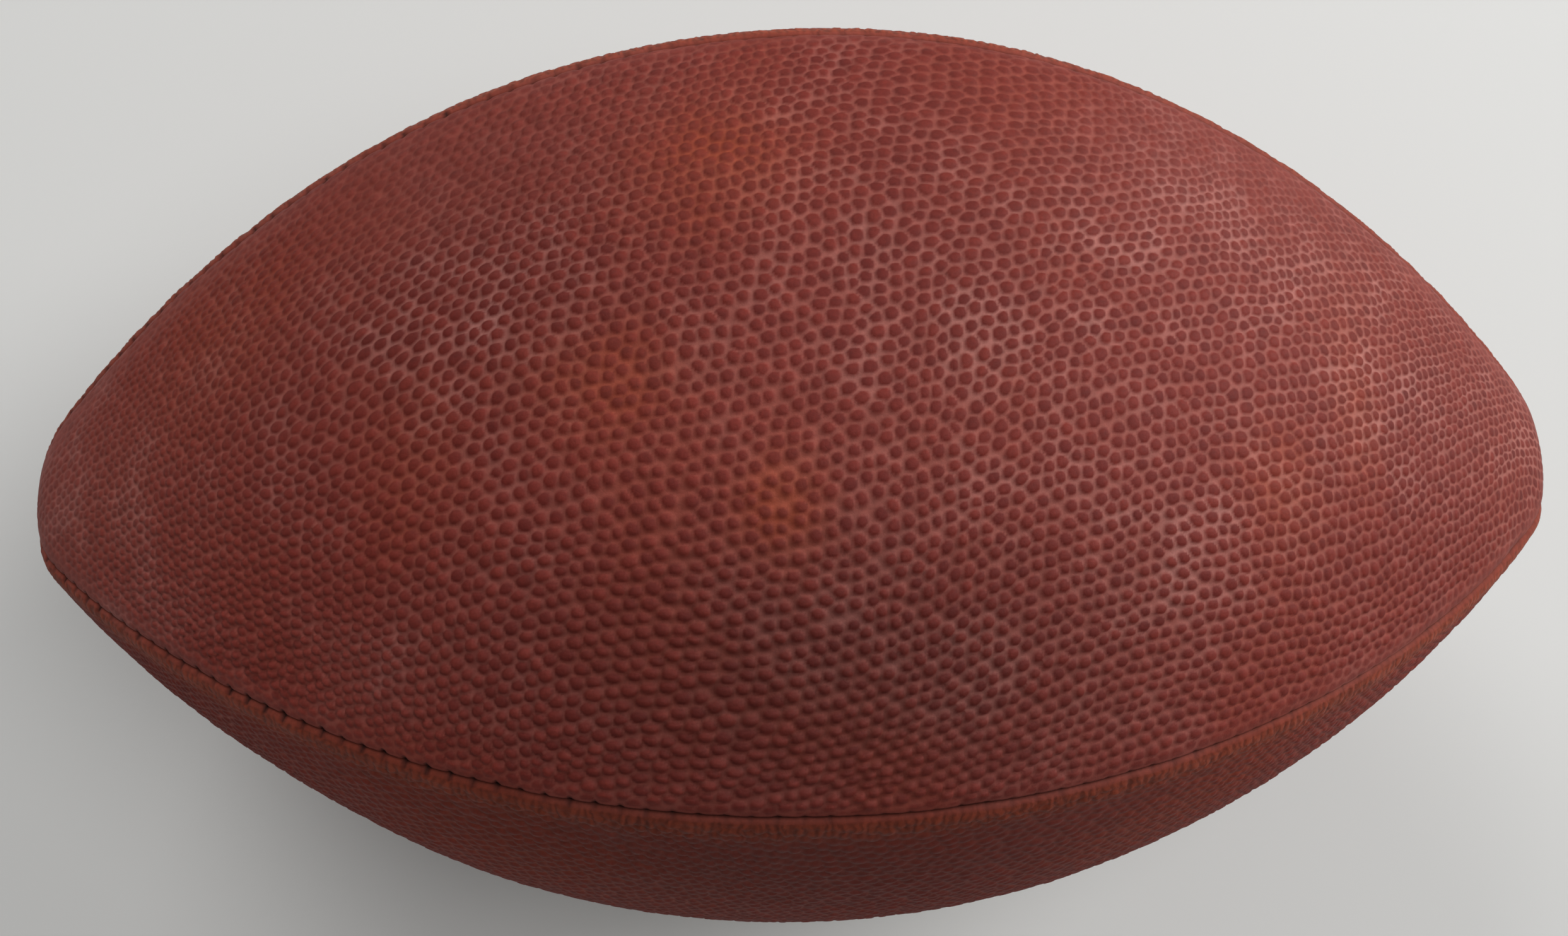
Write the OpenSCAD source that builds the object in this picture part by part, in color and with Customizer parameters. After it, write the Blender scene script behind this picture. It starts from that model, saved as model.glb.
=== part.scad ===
// Four-panel leather football with a laced slot, linings, a bladder and a valve.
// The long axis runs along X, Z is up, and the origin is the centre of the ball.
// It lies on its bottom panel, so the four seams run at 45 degrees to the ground.
// Depths are measured inwards from the outer face of the leather.

/* [Ball] */
// Length from point to point
ball_length = 282; // [272:1:292]
// Distance from the long axis to the middle of a panel, halfway along the ball
panel_radius = 80.4; // [78:0.2:83]
// How much further from the long axis a seam is than the middle of a panel
seam_rise = 10; // [8:0.2:12]
// How flat the belly is: a larger value keeps the ball fat for longer
belly_power = 2.06; // [1.9:0.02:2.2]
// How fast the sides close in towards the ends: a larger value closes them sooner
side_power = 0.98; // [0.9:0.01:1.05]
// How far past the rounded end the sides would meet if they ran on
point_cut = 6.5; // [4:0.5:9]

/* [Leather panels] */
// Thickness of the leather
leather_t = 2.2; // [1.6:0.1:2.8]
// Gap between two leather edges that are sewn face to face
seam_gap = 0.1; // [0.05:0.05:0.3]
// How far the turned-in edge of a panel reaches inside the ball
turned_edge = 6; // [5.5:0.5:8]
// Half width of the groove along a seam
groove_half_w = 1.1; // [0.8:0.1:1.6]
// Depth of the groove along a seam
groove_depth = 0.9; // [0.5:0.1:1.2]

/* [Linings and bladder] */
// Thickness of the cloth lining behind each panel
lining_t = 1.0; // [0.6:0.1:1.4]
// Gap between layers that lie on each other
layer_gap = 0.1; // [0.05:0.05:0.2]
// Wall of the bladder
bladder_wall = 0.7; // [0.5:0.1:1.2]
// How far the bladder stops short of each point of the ball
bladder_short = 10; // [8:1:16]

/* [Seam thread] */
// Thickness of the sewing thread
thread_d = 0.8; // [0.6:0.1:1]
// Distance from stitch to stitch
stitch_pitch = 4; // [3:0.5:6]
// How far the stitching stops short of each point of the ball
stitch_short = 16; // [14:1:30]

/* [Lacing] */
// Number of cross laces
lace_count = 8; // [4:1:10]
// Distance from one cross lace to the next
lace_pitch = 14.6; // [11:0.2:16]
// Width of the lace
lace_w = 6; // [4:0.5:8]
// Thickness of the lace
lace_t = 1.6; // [1.2:0.1:2]
// Width of each of the two strands that run along the seam
strand_w = 4.2; // [3:0.2:5]
// Distance from the seam to the row of lace holes
lace_hole_off = 12; // [10:0.5:16]
// Radius of a lace hole
lace_hole_r = 2.2; // [1.9:0.1:2.6]
// Gap between the lace and the side of its hole
lace_hole_gap = 0.3; // [0.2:0.05:0.5]
// Width of the slot that the bladder goes in through
slot_w = 1.2; // [0.8:0.1:2]
// Distance from the last cross lace to the end of the slot
slot_over = 6; // [5:0.5:9]
// Radius of the hole at each end of the slot
slot_end_r = 2.9; // [2.6:0.1:3.2]
// Thickness of the facing strips behind the lace holes
facing_t = 1.2; // [0.8:0.1:1.6]
// How far a facing strip reaches past the lace on its far side
facing_margin = 5; // [4:0.5:9]
// How far a facing strip and the guard run past the slot
facing_over = 8; // [6:1:14]
// Thickness of the guard under the lacing
guard_t = 1.0; // [0.8:0.1:1.4]
// Half width of the guard
guard_half_w = 12; // [9:0.5:15]

/* [Facing stitches] */
// Thickness of the thread that holds a facing to its lining
tack_d = 0.8; // [0.6:0.1:1]
// Length of one stitch
tack_l = 3.5; // [2.5:0.5:4.5]
// Distance from one facing stitch to the next
tack_pitch = 6; // [5.5:0.5:9]
// Distance from the free edge of a facing to its stitches
tack_inset = 2; // [1.5:0.5:3]

/* [Valve] */
// Where the valve is along the ball
valve_x = 0; // [-20:1:20]
// How far the face of the valve is sunk below the leather
valve_sink = 0.5; // [0.3:0.1:0.8]
// Radius of the valve stem
stem_r = 3.9; // [3.4:0.1:4.6]
// Radius of the hole that guides the inflating needle
needle_hole_r = 1.3; // [1.1:0.1:1.5]
// Length of the needle guide
needle_guide_l = 5; // [4:0.5:7]
// Radius of the flange inside the bladder
valve_flange_r = 9; // [7:0.5:12]
// Thickness of that flange
valve_flange_t = 1.2; // [0.8:0.1:1.8]
// Radius of the sealing core
core_r = 2.6; // [2.2:0.1:3]
// Length of the sealing core
core_l = 7; // [5:0.5:9]
// Gap round the core and round the stem
valve_gap = 0.1; // [0.05:0.05:0.2]
// Length of the cut in the core that the needle opens
slit_l = 2.4; // [2:0.1:2.6]
// Width of that cut
slit_w = 0.1; // [0.1:0.05:0.2]
// Radius of the patch that strengthens the bladder at the valve
patch_r = 14; // [12:0.5:18]
// Thickness of the patch
patch_t = 0.6; // [0.4:0.1:1]

/* [Hidden] */
$fn = 64;

// How far each panel, and the seam after it, is turned round the long axis
quarter = 90;
top = 0;
front = quarter;
bottom = 2 * quarter;
rear = 3 * quarter;
corner = quarter / 2;  // from the middle of a panel to its seam
lace_seam = front;

half_l = ball_length / 2;
seam_radius = panel_radius + seam_rise;
reach = ball_length;
profile_steps = 44;
local_step = ball_length / 70;  // grid of the strips of the lacing
thread_step = ball_length / 280;
spare_turn = 6;

// Each panel is part of a surface of revolution. Its axis is parallel to the
// long axis and lies this far beyond it, which makes the section a rounded square.
axis_off = (pow(seam_radius, 2) - pow(panel_radius, 2))
         / (2 * (panel_radius - seam_radius * cos(corner)));
panel_turn = asin(seam_radius * sin(corner) / (panel_radius + axis_off));
skin_turn = 2 * panel_turn + spare_turn;

// The rounded end is a ball that the sides run into without a corner.
point_x = half_l + point_cut;
halvings = 30;
nose_x = join_x(half_l / 2, half_l, halvings);
nose_centre = nose_x + side_r(nose_x) * side_slope(nose_x);
nose_r = half_l - nose_centre;

// Depths of the layers.
lining_out = leather_t + layer_gap;
lining_in = lining_out + lining_t;
bladder_out = lining_in + 2 * layer_gap;
bladder_in = bladder_out + bladder_wall;
facing_out = lining_in + layer_gap;
facing_in = facing_out + facing_t;
run_out = facing_in + layer_gap;
run_in = run_out + lace_t;
guard_out = run_in + layer_gap;
guard_in = guard_out + guard_t;

// Heights of the lace above the leather, as depths below zero.
low_in = -layer_gap;
low_out = low_in - lace_t;
high_in = low_out - layer_gap;
high_out = high_in - lace_t;

// The seams and the lacing.
thread_depth = turned_edge - leather_t / 2 - thread_d;
thread_side = seam_gap / 2 + leather_t;
thread_pin_r = 0.4 * thread_d;
lining_side = thread_side + thread_d + layer_gap;
lacing_half = (lace_count - 1) * lace_pitch / 2;
slot_half = lacing_half + slot_over;
facing_half = slot_half + facing_over;
facing_side = slot_w / 2 + layer_gap;
edge_open = facing_half + layer_gap;
strand_side = layer_gap;
strand_edge = strand_side + strand_w;
riser_side = strand_edge + 2 * layer_gap;
lace_end = lace_hole_off + lace_w / 2;
facing_end = lace_end + facing_margin;
lace_leg_r = lace_hole_r - lace_hole_gap;
tuck = lace_t / 8;  // how far a narrower stretch of the lace stays inside a wider one
slot_leg_r = slot_end_r - lace_hole_gap;

// The valve, as depths below the middle of the bottom panel.
valve_hole_r = stem_r + valve_gap;
patch_out = bladder_in + layer_gap / 2;
patch_in = patch_out + patch_t;
flange_out = patch_in + layer_gap / 2;
flange_in = flange_out + valve_flange_t;
core_out = valve_sink + needle_guide_l;
core_in = core_out + core_l;

leather = [0.48, 0.23, 0.19];
leather_edge = [0.42, 0.2, 0.16];
cloth = [0.82, 0.8, 0.74];
thread_colour = [0.36, 0.2, 0.15];
white_lace = [0.93, 0.93, 0.9];
butyl = [0.13, 0.13, 0.14];
valve_rubber = [0.08, 0.08, 0.09];

// ---- Shape of the ball ----

// Outline of the sides at the middle of a panel
function side_r(x) =
    panel_radius * pow(max(0, 1 - pow(abs(x) / point_x, belly_power)), side_power);

// Slope of that outline
function side_slope(x) =
    let (u = abs(x) / point_x)
    -sign(x) * panel_radius * side_power * belly_power / point_x
    * pow(u, belly_power - 1) * pow(1 - pow(u, belly_power), side_power - 1);

// Where a ball on the long axis that touches the sides at x ends
function ball_end(x) =
    x + side_r(x) * (side_slope(x) + norm([1, side_slope(x)]));

// Where the sides meet the ball that ends at the end of the leather
function join_x(low, high, count) =
    let (middle = (low + high) / 2)
    count == 0 ? middle
    : ball_end(middle) > half_l ? join_x(low, middle, count - 1)
    : join_x(middle, high, count - 1);

// Radius of the leather at the middle of a panel
function outline_r(x) =
    abs(x) < nose_x ? side_r(x)
    : sqrt(max(0, pow(nose_r, 2) - pow(abs(x) - nose_centre, 2)));

// Half the length of a layer
function layer_half(depth) = half_l - depth;

// Radius of a layer at the middle of a panel
function mid_r(x, depth) =
    (1 - depth / panel_radius) * outline_r(x * half_l / layer_half(depth));

// Radius of a layer at a seam
function seam_r(x, depth) =
    -axis_off * cos(corner)
    + sqrt(pow(mid_r(x, depth) + axis_off, 2) - pow(axis_off * sin(corner), 2));

// Stations along a layer, closer together towards the points
function stations(depth, limit = reach) =
    let (h = layer_half(depth),
         t = limit < h ? asin(limit / h) : quarter)
    [for (i = [0:profile_steps]) h * sin(t * (2 * i / profile_steps - 1))];

function reversed(list) = [for (i = [len(list) - 1:-1:0]) list[i]];

// Radius of a layer at the middle of a panel, straight between steps of a
// grid that all the strips of the lacing share
function step_r(x, depth) =
    let (low = floor(x / local_step) * local_step,
         part = (x - low) / local_step)
    mid_r(low, depth) * (1 - part) + mid_r(low + local_step, depth) * part;

// Both ends of a strip and the steps of the grid between them
function local_stations(x1, x2) =
    concat([x1],
           [for (i = [floor(x1 / local_step) + 1:1:ceil(x2 / local_step) - 1])
               i * local_step],
           [x2]);

// Turns a shape that is drawn at the top panel to another panel
module at_panel(panel) {
    rotate([panel, 0, 0]) children();
}

// Turns a shape that is drawn with its seam straight up to the seam after a
// panel, which is then on the +Y side of the seam
module at_seam(panel) {
    rotate([panel + corner, 0, 0]) children();
}

// Turns a shape that is drawn at the top panel to one side of an upright seam
module beside_seam(side) {
    rotate([-corner * side, 0, 0]) children();
}

// A closed outline turned about the axis of the top panel
module turned_about_panel_axis(points) {
    translate([0, 0, -axis_off])
        rotate([0, 90, 0])
            rotate([0, 0, 180 - skin_turn / 2])
                rotate_extrude(angle = skin_turn) polygon(points);
}

// The whole layer of the top panel between two depths
module skin(outer, inner) {
    turned_about_panel_axis(concat(
        [for (x = stations(outer)) [axis_off + mid_r(x, outer), x]],
        [for (x = reversed(stations(inner))) [axis_off + mid_r(x, inner), x]]));
}

// A stretch of the layer of the top panel between two depths
module skin_part(outer, inner, x1, x2) {
    turned_about_panel_axis(concat(
        [for (x = local_stations(x1, x2)) [axis_off + step_r(x, outer), x]],
        [for (x = reversed(local_stations(x1, x2)))
            [axis_off + step_r(x, inner), x]]));
}

// The space of the top panel between its two seams, narrowed by side at each
module between_seams(side) {
    apex = side / sin(corner);
    rotate([90, 0, 90])
        linear_extrude(height = 2 * reach, center = true)
            polygon([[0, apex], [reach, apex + reach], [-reach, apex + reach]]);
}

// A flat band in the plane of an upright seam, between two depths
module seam_band(outer, inner, limit, y1, y2) {
    translate([0, y2, 0])
        rotate([90, 0, 0])
            linear_extrude(height = y2 - y1)
                polygon(concat(
                    [for (x = stations(outer, limit)) [x, seam_r(x, outer)]],
                    [for (x = reversed(stations(inner, limit)))
                        [x, seam_r(x, inner)]]));
}

// A strip along one side of an upright seam
module side_strip(side, outer, inner, x1, x2, y1, y2) {
    intersection() {
        beside_seam(side) skin_part(outer, inner, x1, x2);
        translate([x1, side > 0 ? y1 : -y2, 0])
            cube([x2 - x1, y2 - y1, reach]);
    }
}

// Turns a shape that is drawn on the axis of a lace hole, with Z at the leather
module at_lace_hole(side, x, off) {
    rho = axis_off + mid_r(x, 0);
    turn = acos((off + axis_off * cos(corner)) / rho) - corner;
    beside_seam(side)
        translate([x, 0, -axis_off])
            rotate([turn * side, 0, 0])
                translate([0, 0, rho]) children();
}

function lace_x(i) = (i - (lace_count - 1) / 2) * lace_pitch;

// ---- Cuts that several pieces share ----

module lace_holes(side) {
    for (i = [0:lace_count - 1])
        at_lace_hole(side, lace_x(i), lace_hole_off)
            translate([0, 0, -2 * turned_edge])
                cylinder(r = lace_hole_r, h = 3 * turned_edge);
}

module slot_end_holes() {
    for (end = [-1, 1])
        translate([end * slot_half, 0, seam_radius / 2])
            cylinder(r = slot_end_r, h = seam_radius);
}

module slot_cut() {
    translate([-slot_half, -slot_w / 2, 0])
        cube([2 * slot_half, slot_w, reach]);
    slot_end_holes();
}

module seam_groove() {
    translate([0, groove_half_w, 0])
        rotate([90, 0, 0])
            linear_extrude(height = 2 * groove_half_w)
                polygon(concat(
                    [for (x = stations(groove_depth)) [x, seam_r(x, groove_depth)]],
                    [[reach, 0], [reach, reach], [-reach, reach], [-reach, 0]]));
}

module valve_hole() {
    translate([valve_x, 0, 0]) cylinder(r = valve_hole_r, h = reach);
}

// ---- Leather panels ----

// The turned-in edge of the panel on the +Y side of an upright seam.
// It is left out over the laced slot, where a facing takes its place.
module turned_in_edge(open_half) {
    difference() {
        seam_band(leather_t / 2, turned_edge, reach,
                  seam_gap / 2, seam_gap / 2 + leather_t);
        if (open_half > 0)
            translate([-open_half, 0, 0])
                cube([2 * open_half, 2 * leather_t, reach]);
    }
}

module leather_panel(open_own = 0, open_other = 0) {
    difference() {
        union() {
            intersection() {
                skin(0, leather_t);
                between_seams(seam_gap / 2);
            }
            intersection() {
                union() {
                    rotate([corner, 0, 0]) turned_in_edge(open_own);
                    mirror([0, 1, 0])
                        rotate([corner, 0, 0]) turned_in_edge(open_other);
                }
                between_seams(seam_gap / 2);
            }
        }
        for (turn = [-corner, corner]) rotate([turn, 0, 0]) seam_groove();
    }
}

module panel_top() {
    color(leather) at_panel(top) leather_panel();
}

module panel_front() {
    color(leather)
        difference() {
            at_panel(front) leather_panel(open_own = edge_open);
            at_seam(lace_seam) {
                slot_cut();
                lace_holes(1);
            }
        }
}

module panel_bottom() {
    color(leather)
        difference() {
            at_panel(bottom) leather_panel(open_other = edge_open);
            at_seam(lace_seam) {
                slot_cut();
                lace_holes(-1);
            }
            at_panel(bottom) valve_hole();
        }
}

module panel_rear() {
    color(leather) at_panel(rear) leather_panel();
}

// ---- Linings ----

module lining_sheet() {
    intersection() {
        skin(lining_out, lining_in);
        between_seams(lining_side);
    }
}

module lining_top() {
    color(cloth) at_panel(top) lining_sheet();
}

module lining_front() {
    color(cloth)
        difference() {
            at_panel(front) lining_sheet();
            at_seam(lace_seam) lace_holes(1);
        }
}

module lining_bottom() {
    color(cloth)
        difference() {
            at_panel(bottom) lining_sheet();
            at_seam(lace_seam) lace_holes(-1);
            at_panel(bottom) valve_hole();
        }
}

module lining_rear() {
    color(cloth) at_panel(rear) lining_sheet();
}

// ---- Seam thread ----

// Length along the thread from its middle to each station, paired with x
function thread_table(x = 0, run = 0) =
    x > half_l - stitch_short ? []
    : concat([[run, x]],
             thread_table(x + thread_step,
                          run + norm([thread_step,
                                      seam_r(x + thread_step, thread_depth)
                                      - seam_r(x, thread_depth)])));

// Stitches at even distances along the thread, clear of the laced slot
module stitch_pins(open_half) {
    table = thread_table();
    count = floor(table[len(table) - 1][0] / stitch_pitch);
    for (i = [0:count], end = [-1, 1]) {
        x = lookup(i * stitch_pitch, table);
        if (x > open_half && (i > 0 || end > 0))
            translate([end * x, 0, seam_r(x, thread_depth + thread_d / 2)])
                rotate([90, 0, 0])
                    cylinder(r = thread_pin_r, h = 2 * thread_side + thread_d,
                             center = true);
    }
}

// Two threads, one on each outer face of the turned-in edges, and the
// stitches that join them through the leather
module seam_thread(open_half = -1) {
    for (y1 = [thread_side, -thread_side - thread_d])
        difference() {
            seam_band(thread_depth, thread_depth + thread_d,
                      half_l - stitch_short, y1, y1 + thread_d);
            if (open_half > 0)
                translate([-open_half, -2 * lining_side, 0])
                    cube([2 * open_half, 4 * lining_side, reach]);
        }
    stitch_pins(open_half);
}

module seam_thread_top_front() {
    color(thread_colour) at_seam(top) seam_thread();
}

module seam_thread_top_rear() {
    color(thread_colour) at_seam(rear) seam_thread();
}

module seam_thread_bottom_rear() {
    color(thread_colour) at_seam(bottom) seam_thread();
}

module seam_thread_lace() {
    color(thread_colour)
        at_seam(lace_seam) seam_thread(edge_open + thread_d);
}

// ---- Lacing ----

module lace_facing(side) {
    difference() {
        side_strip(side, facing_out, facing_in, -facing_half, facing_half,
                   facing_side, facing_end);
        lace_holes(side);
        slot_end_holes();
    }
}

module lace_facing_front() {
    color(leather_edge) at_seam(lace_seam) lace_facing(1);
}

module lace_facing_bottom() {
    color(leather_edge) at_seam(lace_seam) lace_facing(-1);
}

// One stitch through a facing and its lining, laid along the surface
module tack() {
    translate([-tack_l / 2, -tack_d / 2, -facing_in - tack_d])
        cube([tack_l, tack_d, tack_d]);
    for (end = [-1, 1])
        translate([end * (tack_l - tack_d) / 2, 0, -facing_in - tack_d / 2])
            cylinder(r = 0.4 * tack_d,
                     h = facing_in - lining_out - lining_t / 4 + tack_d / 2);
}

module facing_stitches() {
    off = facing_end - tack_inset;
    count = floor((facing_half - tack_l) / tack_pitch);
    color(thread_colour)
        at_seam(lace_seam)
            for (side = [-1, 1], i = [-count:count])
                at_lace_hole(side, i * tack_pitch, off)
                    rotate([0, -atan(side_slope(i * tack_pitch)), 0]) tack();
}

// A cross lace: it lies on the leather at both ends and climbs over the strands
module cross_lace(x) {
    x1 = x - lace_w / 2;
    x2 = x + lace_w / 2;
    for (side = [-1, 1]) {
        side_strip(side, high_out, high_in, x1, x2, 0, riser_side + lace_t);
        side_strip(side, high_out, low_in, x1, x2, riser_side, riser_side + lace_t);
        side_strip(side, low_out, low_in, x1, x2, riser_side, lace_end);
        intersection() {
            side_strip(side, low_out + lace_t / 2, run_in - lace_t / 2, x1, x2,
                       lace_hole_off - lace_w / 2, lace_end);
            at_lace_hole(side, x, lace_hole_off)
                cylinder(r = lace_leg_r, h = 3 * turned_edge, center = true);
        }
    }
}

// The lace inside the ball, from one hole to the next
module inner_run(side, x1, x2) {
    side_strip(side, run_out, run_in, x1 - lace_w / 2, x2 + lace_w / 2,
               lace_hole_off - lace_w / 2, lace_end);
}

// Where a tail of the lace comes up through the end of the slot
module slot_end_leg(end) {
    x = end * slot_half;
    for (side = [-1, 1])
        intersection() {
            side_strip(side, low_out + lace_t / 2, run_in - lace_t / 2,
                       x - slot_end_r, x + slot_end_r, 0, slot_end_r);
            translate([x, 0, seam_radius / 2])
                cylinder(r = slot_leg_r, h = seam_radius);
        }
    side_strip(1, run_out + tuck, run_in - tuck,
               x - lace_w / 2 + tuck, x + lace_w / 2 - tuck, 0, lace_hole_off);
}

module lace() {
    first = lace_x(0);
    last = lace_x(lace_count - 1);
    color(white_lace)
        at_seam(lace_seam) {
            for (i = [0:lace_count - 1]) cross_lace(lace_x(i));
            for (i = [0:lace_count - 2])
                inner_run(i % 2 == 0 ? -1 : 1, lace_x(i), lace_x(i + 1));
            inner_run(1, -slot_half, first);
            inner_run(lace_count % 2 == 0 ? 1 : -1, last, slot_half);
            for (side = [-1, 1])
                side_strip(side, low_out, low_in,
                           -slot_half - slot_end_r, slot_half + slot_end_r,
                           strand_side, strand_edge);
            for (end = [-1, 1]) slot_end_leg(end);
        }
}

module lace_guard() {
    color(cloth)
        at_seam(lace_seam)
            for (side = [-1, 1])
                side_strip(side, guard_out, guard_in, -facing_half, facing_half,
                           0, guard_half_w);
}

// ---- Bladder and valve ----

function bladder_half(depth) = half_l - bladder_short - (depth - bladder_out);

function bladder_r(x, depth) =
    (1 - depth / panel_radius) * outline_r(x * half_l / bladder_half(depth));

function bladder_stations(depth) =
    [for (i = [0:profile_steps])
        bladder_half(depth) * sin(quarter * (2 * i / profile_steps - 1))];

// A layer of the bladder between two depths, round in section
module bladder_skin(outer, inner) {
    rotate([0, 90, 0])
        rotate_extrude()
            polygon(concat(
                [for (x = bladder_stations(outer)) [bladder_r(x, outer), x]],
                [for (x = reversed(bladder_stations(inner)))
                    [bladder_r(x, inner), x]]));
}

module bladder() {
    color(butyl)
        difference() {
            bladder_skin(bladder_out, bladder_in);
            at_panel(bottom) valve_hole();
        }
}

// A round piece of a layer of the bladder, round the valve
module bladder_disc(outer, inner, radius) {
    intersection() {
        bladder_skin(outer, inner);
        translate([valve_x, 0, 0]) cylinder(r = radius, h = reach);
    }
}

// A cylinder on the axis of the valve between two depths
module valve_cylinder(outer, inner, radius) {
    translate([valve_x, 0, mid_r(valve_x, 0) - inner])
        cylinder(r = radius, h = inner - outer);
}

module valve_housing() {
    color(valve_rubber)
        at_panel(bottom)
            difference() {
                union() {
                    bladder_disc(flange_out, flange_in, valve_flange_r);
                    valve_cylinder(valve_sink, core_in, stem_r);
                }
                valve_cylinder(0, core_out, needle_hole_r);
                valve_cylinder(core_out, core_in + valve_gap,
                               core_r + valve_gap);
            }
}

module valve_core() {
    color(butyl)
        at_panel(bottom)
            difference() {
                valve_cylinder(core_out + valve_gap, core_in, core_r);
                translate([valve_x - slit_l / 2, -slit_w / 2, 0])
                    cube([slit_l, slit_w, reach]);
            }
}

module valve_patch() {
    color(butyl)
        at_panel(bottom)
            difference() {
                bladder_disc(patch_out, patch_in, patch_r);
                valve_hole();
            }
}

panel_top();
panel_front();
panel_bottom();
panel_rear();
lining_top();
lining_front();
lining_bottom();
lining_rear();
seam_thread_top_front();
seam_thread_top_rear();
seam_thread_bottom_rear();
seam_thread_lace();
lace_facing_front();
lace_facing_bottom();
facing_stitches();
lace();
lace_guard();
bladder();
valve_housing();
valve_core();
valve_patch();
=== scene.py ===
from math import asin, cos, hypot, pi, radians, sin
import bpy
import numpy as np
from mathutils import Matrix, Vector


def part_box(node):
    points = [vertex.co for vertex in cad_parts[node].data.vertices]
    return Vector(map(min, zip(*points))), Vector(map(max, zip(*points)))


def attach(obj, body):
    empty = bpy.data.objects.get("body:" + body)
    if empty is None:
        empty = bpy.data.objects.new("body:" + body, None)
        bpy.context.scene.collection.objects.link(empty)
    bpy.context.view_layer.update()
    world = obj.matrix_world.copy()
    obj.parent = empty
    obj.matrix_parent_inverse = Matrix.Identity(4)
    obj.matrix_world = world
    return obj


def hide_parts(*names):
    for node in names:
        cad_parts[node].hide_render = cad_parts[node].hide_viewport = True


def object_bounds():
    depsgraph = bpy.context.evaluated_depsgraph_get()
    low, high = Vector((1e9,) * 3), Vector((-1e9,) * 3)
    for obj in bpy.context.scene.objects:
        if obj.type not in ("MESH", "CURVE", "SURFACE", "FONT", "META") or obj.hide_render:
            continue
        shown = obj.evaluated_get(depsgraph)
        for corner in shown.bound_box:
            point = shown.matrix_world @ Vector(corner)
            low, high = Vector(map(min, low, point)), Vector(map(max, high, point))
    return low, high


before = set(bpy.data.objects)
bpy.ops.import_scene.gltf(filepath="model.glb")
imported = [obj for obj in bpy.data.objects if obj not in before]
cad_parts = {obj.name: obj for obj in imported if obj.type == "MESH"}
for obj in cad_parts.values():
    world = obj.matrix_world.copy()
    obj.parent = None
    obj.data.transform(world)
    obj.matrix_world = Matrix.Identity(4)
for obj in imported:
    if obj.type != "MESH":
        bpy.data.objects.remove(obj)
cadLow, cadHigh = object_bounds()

# Lengths are millimetres until a mesh, a light or the camera is made from them.
mm = 0.001
quarterTurn = pi / 2
seamTurn = pi / 4  # from the middle of a panel to its seam

halfLength = (cadHigh.x - cadLow.x) / 2 / mm
panelRadius = cadHigh.z / mm
floorHeight = cadLow.z / mm


def meshOf(name, points, faces):
    mesh = bpy.data.meshes.new(name)
    mesh.from_pydata((points * mm).tolist(), [], faces)
    mesh.polygons.foreach_set("use_smooth", np.ones(len(faces), dtype=bool))
    mesh.update()
    made = bpy.data.objects.new(name, mesh)
    bpy.context.scene.collection.objects.link(made)
    return made


def ringQuads(rows, count, closed=False):
    # the faces from each ring of points to the next, and from the last to the first if closed
    corner = np.pad(np.arange(rows * count).reshape(rows, count), ((0, int(closed)), (0, 1)), mode="wrap")
    return np.stack((corner[:-1, :-1], corner[1:, :-1], corner[1:, 1:], corner[:-1, 1:]), -1)


# camera

shot = {
    "distance": 362.4,  # from the long axis
    "aside": -22.6,  # along it
    "elevation": 78.675,
    "pan": 3.041,
    "tilt": 0.590,
    "roll": 1.879,
    "lens": 44.02,
    "sensor": 36,
    "near": 0.01,
    "far": 20,
}


def makeCamera():
    rise, pan, tilt, roll = (radians(shot[name]) for name in ("elevation", "pan", "tilt", "roll"))
    place = Matrix.Rotation(quarterTurn - rise, 4, "X")
    place = place @ Matrix.Translation(Vector((shot["aside"], 0, shot["distance"])) * mm)
    for turn, axis in ((-pan, "Y"), (tilt, "X"), (-roll, "Z")):
        place = place @ Matrix.Rotation(turn, 4, axis)
    camera = bpy.data.objects.new("camera", bpy.data.cameras.new("camera"))
    bpy.context.scene.collection.objects.link(camera)
    camera.matrix_world = place
    camera.data.sensor_width = shot["sensor"]
    camera.data.lens = shot["lens"]
    camera.data.clip_start = shot["near"]
    camera.data.clip_end = shot["far"]
    bpy.context.scene.camera = camera


makeCamera()
print("camera made")


# outline of the ball

ball = {
    "bellyPower": 2.03,  # how full the belly is
    "sidePower": 0.90,  # how fast the sides close in
    "pointCut": 6.8,  # how far past the rounded end the sides would meet
    "seamRise": 10.0,  # how much further from the long axis a seam is than a panel middle
    "bend": 1.0,  # how far one end sits towards the front
    "bendFrom": 20,
    "bendTo": 130,
    "rearSink": 0.8,  # how far the rear seam sits inwards
    "sinkAt": -12,  # and where, along the ball
    "sinkReach": 62,
}

pointX = halfLength + ball["pointCut"]
seamRadius = panelRadius + ball["seamRise"]
# a panel's section is an arc about a centre beyond the long axis
arcShift = (seamRadius ** 2 - panelRadius ** 2) / (2 * (panelRadius - seamRadius * cos(seamTurn)))
arcRadius = panelRadius + arcShift
arcTurn = asin(seamRadius * sin(seamTurn) / arcRadius)


def sideRadius(x):
    return panelRadius * np.maximum(0, 1 - (np.abs(x) / pointX) ** ball["bellyPower"]) ** ball["sidePower"]


def sideSlope(x):
    belly, side = ball["bellyPower"], ball["sidePower"]
    part = x / pointX
    return -panelRadius * side * belly / pointX * part ** (belly - 1) * (1 - part ** belly) ** (side - 1)


def findNose():
    # a sphere on the long axis that touches the sides and ends where the ball ends
    low, high = halfLength / 2, halfLength
    for _ in range(40):
        x = (low + high) / 2
        centre = x + sideRadius(x) * sideSlope(x)
        if centre + sideRadius(x) * hypot(1, sideSlope(x)) > halfLength:
            high = x
        else:
            low = x
    return x, centre, halfLength - centre


noseJoin, noseCentre, noseRadius = findNose()


def outlineRadius(x):
    distance = np.abs(x)
    cap = np.sqrt(np.maximum(0, noseRadius ** 2 - (distance - noseCentre) ** 2))
    return np.where(distance < noseJoin, sideRadius(np.minimum(distance, noseJoin)), cap)


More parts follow.
